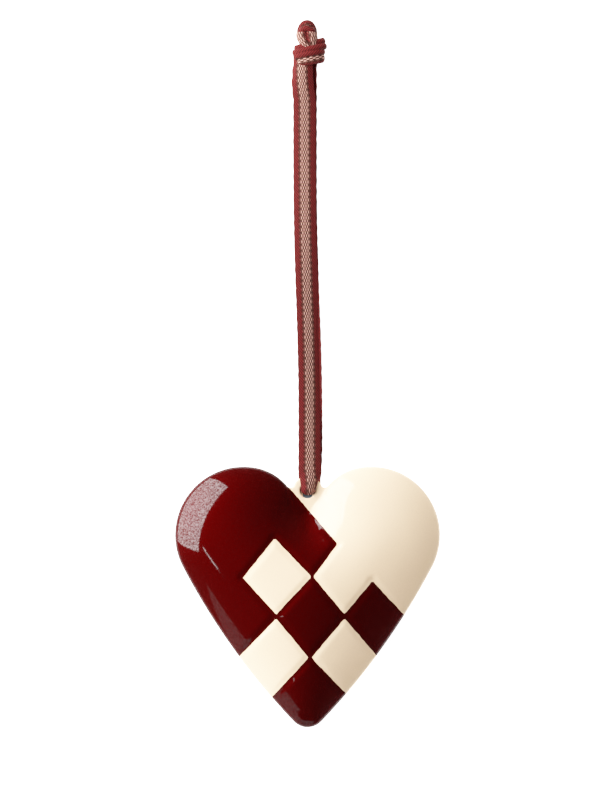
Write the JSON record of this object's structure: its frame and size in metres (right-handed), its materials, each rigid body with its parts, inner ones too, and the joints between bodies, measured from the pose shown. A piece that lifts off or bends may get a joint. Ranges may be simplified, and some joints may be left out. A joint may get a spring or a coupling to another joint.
{
  "type": "braided heart ornament",
  "caption": "Puffed enamelled metal heart with a woven checker of red and cream squares, an ear with a hole between its lobes, and a knotted ribbon loop.",
  "frame": {"origin": "on the flat back, under the middle of the heart's outline box", "axes": "+X to the right of the heart seen from its front, +Y from the tip towards the lobes and along the ribbon, +Z out of the front face"},
  "size_m": [0.07, 0.1869, 0.0104],
  "materials": {
    "enamel": "glossy sprayed enamel in deep red and cream, with a fine orange peel",
    "ribbon": "narrow woven ribbon with dark red edges and a checked cream middle stripe"
  },
  "bodies": {
    "root": {"heart": "enamel", "ribbon_front": "ribbon", "ribbon_back": "ribbon", "ribbon_knot": "ribbon"}
  },
  "joints": []
}
